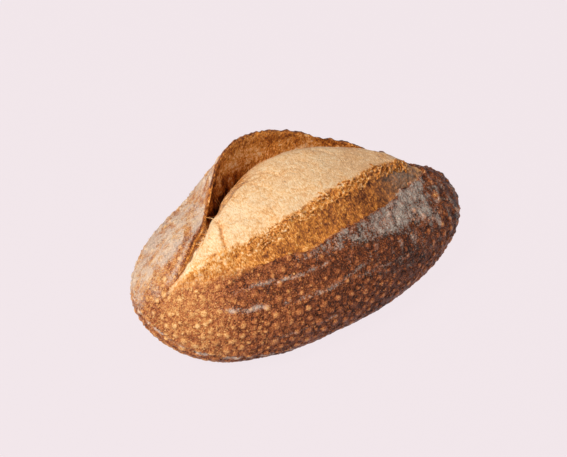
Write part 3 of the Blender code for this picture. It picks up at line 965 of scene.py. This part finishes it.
def torn_flakes(points, normals, ridge, cut):
    """Small curled flakes along the ridge, where the crumb tore as the dome rose."""
    rng = np.random.default_rng(FLAKE_SEED)
    x = points[:, 0]
    near_ridge = (np.abs(ridge - FLAKE_OFF_RIDGE) < FLAKE_SPREAD) & (cut > FLAKE_OFF_LIP)
    near_ridge = np.nonzero(near_ridge & (x > FLAKE_SPAN[0]) & (x < FLAKE_SPAN[1]))[0]
    vertices, faces, toast_and_shading = [], [], []
    u, v = np.meshgrid(np.linspace(-1.0, 1.0, FLAKE_STEPS), np.linspace(0.0, 1.0, FLAKE_STEPS))
    for index in rng.choice(near_ridge, FLAKES, replace=False):
        up = Vector(normals[index]).normalized()
        turn = rng.normal(0.0, FLAKE_TURN)
        along_ridge = Vector((math.cos(turn), math.sin(turn), 0.0))
        lean = up.cross(along_ridge).normalized() * rng.choice((-1.0, 1.0))
        along_ridge = lean.cross(up)
        wide = mix(*FLAKE_WIDTH, rng.random() ** FLAKE_NARROWNESS)
        tall = mix(*FLAKE_HEIGHT, rng.random() ** FLAKE_LOWNESS)
        curl = mix(*FLAKE_CURL, rng.random())
        taper = 1.0 - FLAKE_TAPER * v**2
        ripple = np.sin(u * mix(*FLAKE_RIPPLE, rng.random()) + rng.random() * FLAKE_PHASES)
        notches = np.abs(np.sin(u * FLAKE_NOTCHES + rng.random() * FLAKE_PHASES))
        ragged_top = 1.0 - FLAKE_NOTCH_DEPTH * notches
        lift = tall * ragged_top * np.sin(curl * v) / curl - FLAKE_SINK
        over = tall * ragged_top * (1.0 - np.cos(curl * v)) / curl
        over = over + FLAKE_RIPPLE_HEIGHT * ripple * v
        across = u * wide / 2.0 * taper
        for side in (0.5, -0.5):
            thick = side * FLAKE_THICKNESS * (FLAKE_ROOT - FLAKE_THINNING * v)
            grid = (points[index] + across[..., None] * np.array(along_ridge)
                    + (lift - thick * np.sin(curl * v))[..., None] * np.array(up)
                    + (over + thick * np.cos(curl * v))[..., None] * np.array(lean))
            vertices += grid.reshape(-1, 3).tolist()
        shade = FLAKE_TOAST + FLAKE_TOAST_SPREAD * rng.random() + steps(x[index], FLAKE_TOAST_RISE)
        # Painted light: each flake is coloured darker at its root and paler towards its top
        toast_and_shading += 2 * (shade + FLAKE_ROOT_SHADE - FLAKE_TIP_HIGHLIGHT * v).ravel().tolist()
        faces += sheet_faces(FLAKE_STEPS, len(vertices) - 2 * FLAKE_STEPS**2)
    mesh = bpy.data.meshes.new("torn_flakes")
    mesh.from_pydata((np.array(vertices) * MM).tolist(), [], faces)
    write_maps(mesh, TORN_DOUGH | {"toast_and_shading": np.array(toast_and_shading)})
    mesh.shade_smooth()
    return mesh


# Strands of dough left across the crevice: the stations between which they stand, how far up the
# ear and down the dome they start and end, their radius and their sag, in mm
STRANDS = 26
STRAND_SPAN = (-0.66, -0.34)
STRAND_ON_EAR = (1.0, 13.0)
STRAND_ON_DOME = (2.0, 14.0)
STRAND_OFF_BORDER, STRAND_BELOW_EDGE = 0.5, 3.0
STRAND_SCATTER = 2.0
STRAND_RADIUS = (0.18, 0.42)
STRAND_SAG = (-0.8, 1.4)
# How far a strand runs into the dough at each end, as a share of its length, and how it thickens
STRAND_ROOT = 0.08
STRAND_WAIST, STRAND_FLARE = 0.7, 1.6
STRAND_TOAST = 0.36
STRAND_SIDES = 6
STRAND_STEPS = 9
STRAND_SEED = 5


def dough_strands(points, ear, edge, cut):
    """Thin strands that the dough left between the dome and the ear as it tore."""
    rng = np.random.default_rng(STRAND_SEED)
    low_x, high_x = (end * LENGTH / 2.0 / MM for end in STRAND_SPAN)
    here = (cut > STRAND_OFF_BORDER) & (points[:, 0] > low_x) & (points[:, 0] < high_x)
    low, high = STRAND_ON_EAR
    on_ear = np.nonzero(here & (ear > low) & (ear < high) & (edge > STRAND_BELOW_EDGE))[0]
    low, high = STRAND_ON_DOME
    on_dome = np.nonzero(here & (ear < -low) & (ear > -high))[0]
    vertices, faces = [], []
    for index in rng.choice(on_ear, STRANDS, replace=False):
        start = points[index]
        reach = points[on_dome] + rng.normal(0.0, STRAND_SCATTER, 3)
        goal = points[on_dome[np.argmin(np.linalg.norm(reach - start, axis=1))]]
        line = goal - start
        side = np.cross(line, (0.0, 0.0, 1.0))
        side /= max(np.linalg.norm(side), TINY)
        radius = mix(*STRAND_RADIUS, rng.random())
        sag = mix(*STRAND_SAG, rng.random())
        other = np.cross(line / max(np.linalg.norm(line), TINY), side)
        for step in np.linspace(-STRAND_ROOT, 1.0 + STRAND_ROOT, STRAND_STEPS):
            pinch = radius * (STRAND_WAIST + STRAND_FLARE * (2.0 * step - 1.0) ** 4)
            droop = sag * math.sin(math.pi * np.clip(step, 0.0, 1.0))
            middle = start + line * step - np.array([0.0, 0.0, droop])
            for turn in np.linspace(0.0, math.tau, STRAND_SIDES, endpoint=False):
                vertices.append(middle + pinch * (math.cos(turn) * side + math.sin(turn) * other))
        first = len(vertices) - STRAND_SIDES * STRAND_STEPS
        for step in range(STRAND_STEPS - 1):
            for turn in range(STRAND_SIDES):
                a = first + step * STRAND_SIDES + turn
                b = first + step * STRAND_SIDES + (turn + 1) % STRAND_SIDES
                faces.append((a, b, b + STRAND_SIDES, a + STRAND_SIDES))
        faces.append(tuple(first + turn for turn in reversed(range(STRAND_SIDES))))
        last = first + (STRAND_STEPS - 1) * STRAND_SIDES
        faces.append(tuple(last + turn for turn in range(STRAND_SIDES)))
    mesh = bpy.data.meshes.new("dough_strands")
    mesh.from_pydata((np.array(vertices) * MM).tolist(), [], faces)
    write_maps(mesh, TORN_DOUGH | {"toast_and_shading": STRAND_TOAST})
    mesh.shade_smooth()
    return mesh


def linear(colour):
    """A linear colour from an sRGB hex value."""
    channels = [int(colour[i:i + 2], 16) / 255.0 for i in (1, 3, 5)]
    return (*[c / 12.92 if c <= 0.04045 else ((c + 0.055) / 1.055) ** 2.4 for c in channels], 1.0)


def put(tree, kind, inputs=None, stops=None, **settings):
    """Adds a shader node with its settings, its links or values, and its ramp's stops."""
    node = tree.nodes.new("ShaderNode" + kind)
    for name, value in settings.items():
        setattr(node, name, value)
    for socket, value in (inputs or {}).items():
        if isinstance(value, bpy.types.Node):
            value = value.outputs[0]
        if isinstance(value, bpy.types.NodeSocket):
            tree.links.new(value, node.inputs[socket])
        else:
            node.inputs[socket].default_value = value
    if stops:
        ramp = node.color_ramp
        while len(ramp.elements) < len(stops):
            ramp.elements.new(0.5)
        for element, (place, colour) in zip(ramp.elements, stops):
            element.position = place
            element.color = linear(colour)
    return node


# Colours of the crust as it browns, and of the cut surfaces as they toast
CRUST_BROWNING = (
    (0.00, "#F0C892"),
    (0.16, "#E5B274"),
    (0.32, "#D19253"),
    (0.48, "#B36A3A"),
    (0.64, "#8A4723"),
    (0.80, "#552810"),
    (1.00, "#241008"),
)
CUT_TOASTING = (
    (0.00, "#FFF0D4"),
    (0.12, "#FADDB2"),
    (0.26, "#EFC088"),
    (0.38, "#E09A48"),
    (0.50, "#C4782E"),
    (0.64, "#9A5A2A"),
    (0.80, "#693718"),
    (1.00, "#301206"),
)
FLOUR_WHITE = "#E2D8CA"
ASHEN_DOUGH = "#DCC2A2"
# Small blisters, beside the large ones of the mesh: their spacing in mm, and for each cell's lot of
# 0 to 1 the least reach and how far it spreads, as shares of the spacing
SMALL_BLISTERS = ((4.2, -0.16, 0.56), (2.3, -0.10, 0.62), (1.4, -0.02, 0.60))
# How much darker the hollows round blisters are coloured, as painted shade, how much paler their tops, and
# the level of both
GROOVE_SHADE, TOP_PALENESS, BROWNING_OFFSET = 0.22, -0.44, 0.69
# Starch and baked sugars are a glassy solid of index 1.45, but the crust's fine roughness spreads
# its shine: less on bare crust than on torn dough, and most on flour
CRUST_INDEX = 1.45
CRUST_GLOSS = 0.25
CRUST_ROUGHNESS, CUT_ROUGHNESS, FLOUR_ROUGHNESS = 0.42, 0.62, 0.9
GRAIN_DEPTH = 0.7 * MM


def crust_finish(tree, mm, maps):
    """Oven-browned crust, gelled by steam and then dried: red brown, with a dull gloss.

    It gives the eye golden blisters in hollows darkened by painted shade, over mottling 3 mm and 1 mm
    across.
    """
    coarse = put(tree, "TexNoise", {"Vector": mm, "Scale": 0.30, "Detail": 3.0, "Roughness": 0.6})
    fine = put(tree, "TexNoise", {"Vector": mm, "Scale": 1.2, "Detail": 2.0, "Roughness": 0.7})
    browning = put(tree, "Math", {0: coarse, 1: 0.7, 2: maps["bake"]}, operation="MULTIPLY_ADD")
    browning = put(tree, "Math", {0: fine, 1: 0.8, 2: browning}, operation="MULTIPLY_ADD")
    raised = put(tree, "MapRange", {"Value": maps["blister"], "From Min": 0.1, "From Max": 0.8,
                                    "To Max": 0.72})
    groove_shade = put(tree, "MapRange", {"Value": maps["blister"], "From Min": -0.1, "From Max": -0.8,
                                    "To Max": 0.8})
    for spacing, least, spread in SMALL_BLISTERS:
        cells = put(tree, "TexVoronoi", {"Vector": mm, "Scale": 1.0 / spacing, "Randomness": 1.0})
        lot = put(tree, "SeparateColor", {"Color": cells.outputs["Color"]}).outputs
        reach = put(tree, "Math", {0: lot["Red"], 1: spread, 2: least}, operation="MULTIPLY_ADD")
        there = put(tree, "MapRange", {"Value": reach, "From Min": 0.10, "From Max": 0.20})
        shade = put(tree, "MapRange", {"Value": lot["Green"], "To Min": 0.30, "To Max": 1.0})
        strength = put(tree, "Math", {0: there, 1: shade}, operation="MULTIPLY")
        reach = put(tree, "Math", {0: reach, 1: 0.05}, operation="MAXIMUM")
        ratio = put(tree, "Math", {0: cells, 1: reach}, operation="DIVIDE")
        top = put(tree, "MapRange", {"Value": ratio, "From Min": 1.0, "From Max": 0.5, "To Max": strength})
        rim = put(tree, "MapRange", {"Value": ratio, "From Min": 1.6, "From Max": 1.0, "To Max": strength})
        raised = put(tree, "Math", {0: top, 1: raised}, operation="MAXIMUM")
        groove_shade = put(tree, "Math", {0: rim, 1: groove_shade}, operation="MAXIMUM")
    # Painted shade: the hollows round the blisters are coloured darker
    level = put(tree, "Math", {0: groove_shade, 1: GROOVE_SHADE, 2: browning}, operation="MULTIPLY_ADD")
    level = put(tree, "Math", {0: raised, 1: TOP_PALENESS, 2: level}, operation="MULTIPLY_ADD")
    level = put(tree, "Math", {0: level, 1: BROWNING_OFFSET}, operation="SUBTRACT")
    colour = put(tree, "ValToRGB", {"Fac": level}, CRUST_BROWNING)
    height = put(tree, "Math", {0: fine, 1: 0.9, 2: raised}, operation="MULTIPLY_ADD")
    return colour, height


def cut_finish(tree, mm, maps):
    """Sourdough crumb, stretched and torn as it rose, then toasted where it stood up.

    It gives the eye cream where it only stretched, orange to brown where it tore, in patches 3 mm
    long and in specks 1 mm long that are drawn out to twice that across the cut.
    """
    coarse = put(tree, "TexNoise", {"Vector": mm, "Scale": 0.36, "Detail": 3.0, "Roughness": 0.62})
    drawn = put(tree, "Mapping", {"Vector": mm, "Scale": (1.0, 0.45, 0.45)})
    fine = put(tree, "TexNoise", {"Vector": drawn, "Scale": 1.2, "Detail": 2.0, "Roughness": 0.7})
    patches = put(tree, "MapRange", {"Value": maps["toast_and_shading"], "From Min": 0.15, "From Max": 0.42,
                                     "To Min": 0.30, "To Max": 0.85})
    specks = put(tree, "MapRange", {"Value": maps["toast_and_shading"], "From Min": 0.15, "From Max": 0.45,
                                    "To Min": 0.58, "To Max": 1.05})
    level = maps["toast_and_shading"]
    for pattern, amount in ((coarse, patches), (fine, specks)):
        around = put(tree, "Math", {0: pattern, 1: 0.5}, operation="SUBTRACT")
        level = put(tree, "Math", {0: around, 1: amount, 2: level}, operation="MULTIPLY_ADD")
    colour = put(tree, "ValToRGB", {"Fac": level}, CUT_TOASTING)
    dulled = put(tree, "MapRange", {"Value": maps["ashen"], "To Max": 0.50})
    colour = put(tree, "Mix", {"Factor": dulled, "A": colour, "B": linear(ASHEN_DOUGH)}, data_type="RGBA")
    height = put(tree, "Math", {0: coarse, 1: 0.5, 2: fine}, operation="MULTIPLY_ADD")
    height = put(tree, "Math", {0: height, 1: 1.3}, operation="MULTIPLY")
    return colour.outputs["Result"], height


def baked_loaf():
    """Baked sourdough: browned crust and toasted cut surfaces, dusted with rye flour."""
    material = bpy.data.materials.new("baked_sourdough_crust")
    material.use_nodes = True
    tree = material.node_tree
    surface = tree.nodes["Principled BSDF"]
    place = put(tree, "TexCoord").outputs["Object"]
    mm = put(tree, "Mapping", {"Vector": place, "Scale": (1.0 / MM, 1.0 / MM, 1.0 / MM)})
    names = ("blister", "bake", "toast_and_shading", "flour", "border", "ashen")
    maps = {name: put(tree, "Attribute", attribute_name=name).outputs["Fac"] for name in names}
    crust_colour, crust_height = crust_finish(tree, mm, maps)
    cut_colour, cut_height = cut_finish(tree, mm, maps)

    # Flour from the basket stays as a matt grey-white bloom, broken up by specks about 1 mm across
    specks = put(tree, "TexNoise", {"Vector": mm, "Scale": 0.8, "Detail": 5.0, "Roughness": 0.75})
    dusted = put(tree, "Math", {0: specks, 1: 3.8, 2: maps["flour"]}, operation="MULTIPLY_ADD")
    dust = put(tree, "MapRange", {"Value": dusted, "From Min": 2.3, "From Max": 3.4, "To Max": 0.62})

    # The border between crust and cut is torn, in teeth about 3 mm across
    torn = put(tree, "TexNoise", {"Vector": mm, "Scale": 0.35, "Detail": 4.0, "Roughness": 0.6})
    border = put(tree, "Math", {0: torn, 1: 1.4, 2: maps["border"]}, operation="MULTIPLY_ADD")
    share = put(tree, "MapRange", {"Value": border, "From Min": 0.7, "From Max": 1.7})
    colour = put(tree, "Mix", {"Factor": share, "A": crust_colour, "B": cut_colour}, data_type="RGBA")
    colour = put(tree, "Mix", {"Factor": dust, "A": colour.outputs["Result"], "B": linear(FLOUR_WHITE)},
                 data_type="RGBA")
    tree.links.new(colour.outputs["Result"], surface.inputs["Base Color"])
    height = put(tree, "Mix", {"Factor": share, "A": crust_height, "B": cut_height})
    relief = put(tree, "Bump", {"Height": height, "Strength": 1.0, "Distance": GRAIN_DEPTH})
    tree.links.new(relief.outputs["Normal"], surface.inputs["Normal"])
    dulled = put(tree, "MapRange", {"Value": dust, "From Max": 0.5, "To Min": CRUST_ROUGHNESS,
                                    "To Max": FLOUR_ROUGHNESS})
    roughness = put(tree, "Mix", {"Factor": share, "A": dulled, "B": CUT_ROUGHNESS})
    tree.links.new(roughness.outputs["Result"], surface.inputs["Roughness"])
    surface.inputs["IOR"].default_value = CRUST_INDEX
    surface.inputs["Specular IOR Level"].default_value = CRUST_GLOSS
    return material


def place(mesh, material):
    """Adds a piece to the loaf with its material."""
    mesh.materials.append(material)
    piece = bpy.data.objects.new(mesh.name, mesh)
    bpy.context.scene.collection.objects.link(piece)
    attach(piece, "root")
    return piece


def make_loaf():
    """The loaf, whose skin replaces the solid, with its torn flakes and strands of dough."""
    material = baked_loaf()
    mesh, points, normals, (cut, ridge, ear, edge) = make_skin()
    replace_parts(place(mesh, material), "loaf")
    place(torn_flakes(points, normals, ridge, cut), material)
    place(dough_strands(points, ear, edge, cut), material)


# The studio, in metres
FLOOR_REACH = 6.0
LIGHT_AIM = (0.0, 0.0, 0.05)


def make_floor():
    """A plain pale floor, lit evenly, that fades into the same pale backdrop."""
    mesh = bpy.data.meshes.new("floor")
    corners = [(-FLOOR_REACH, -FLOOR_REACH, 0.0), (FLOOR_REACH, -FLOOR_REACH, 0.0),
               (FLOOR_REACH, FLOOR_REACH, 0.0), (-FLOOR_REACH, FLOOR_REACH, 0.0)]
    mesh.from_pydata(corners, [], [(0, 1, 2, 3)])
    floor = bpy.data.objects.new("floor", mesh)
    bpy.context.scene.collection.objects.link(floor)
    material = bpy.data.materials.new("pale_floor")
    material.use_nodes = True
    surface = material.node_tree.nodes["Principled BSDF"]
    surface.inputs["Base Color"].default_value = linear("#1E1C1D")
    surface.inputs["Roughness"].default_value = 1.0
    surface.inputs["Specular IOR Level"].default_value = 0.0
    surface.inputs["Emission Color"].default_value = linear("#F0E5E9")
    surface.inputs["Emission Strength"].default_value = 1.0
    mesh.materials.append(material)


def make_camera():
    """The camera at the photograph's viewing angle."""
    sine, cosine = math.sin(VIEW_TURN), math.cos(VIEW_TURN)
    back = Vector((-sine * math.cos(VIEW_TILT), -cosine * math.cos(VIEW_TILT), math.sin(VIEW_TILT)))
    right = Vector((cosine, -sine, 0.0))
    up = back.cross(right)
    stand = Vector(VIEW_AIM) + back * VIEW_DISTANCE + right * VIEW_RIGHT + up * VIEW_UP
    data = bpy.data.cameras.new("camera")
    data.lens = LENS
    data.sensor_width = SENSOR
    camera = bpy.data.objects.new("camera", data)
    turn = Matrix((right, up, back)).transposed().to_4x4()
    camera.matrix_world = Matrix.Translation(stand) @ turn
    bpy.context.scene.collection.objects.link(camera)
    bpy.context.scene.camera = camera


def make_light(name, stand, size, power, colour):
    """A large soft studio light."""
    data = bpy.data.lights.new(name, "AREA")
    data.shape = "DISK"
    data.size = size
    data.energy = power
    data.color = linear(colour)[:3]
    light = bpy.data.objects.new(name, data)
    light.location = stand
    light.rotation_euler = (Vector(LIGHT_AIM) - Vector(stand)).to_track_quat("-Z", "Y").to_euler()
    bpy.context.scene.collection.objects.link(light)


def make_studio():
    """Soft light from the upper left, and pale surroundings."""
    scene = bpy.context.scene
    scene.view_settings.view_transform = "Standard"
    world = bpy.data.worlds.new("studio")
    scene.world = world
    world.use_nodes = True
    world.node_tree.nodes["Background"].inputs["Color"].default_value = linear("#F4EEF0")
    world.node_tree.nodes["Background"].inputs["Strength"].default_value = 0.26
    make_light("key", (-1.0, -0.1, 1.3), 0.4, 27.0, "#FFFAF2")
    make_light("fill", (0.6, -1.3, 0.9), 1.0, 5.0, "#FFFFFF")


make_loaf()
make_floor()
make_camera()
make_studio()
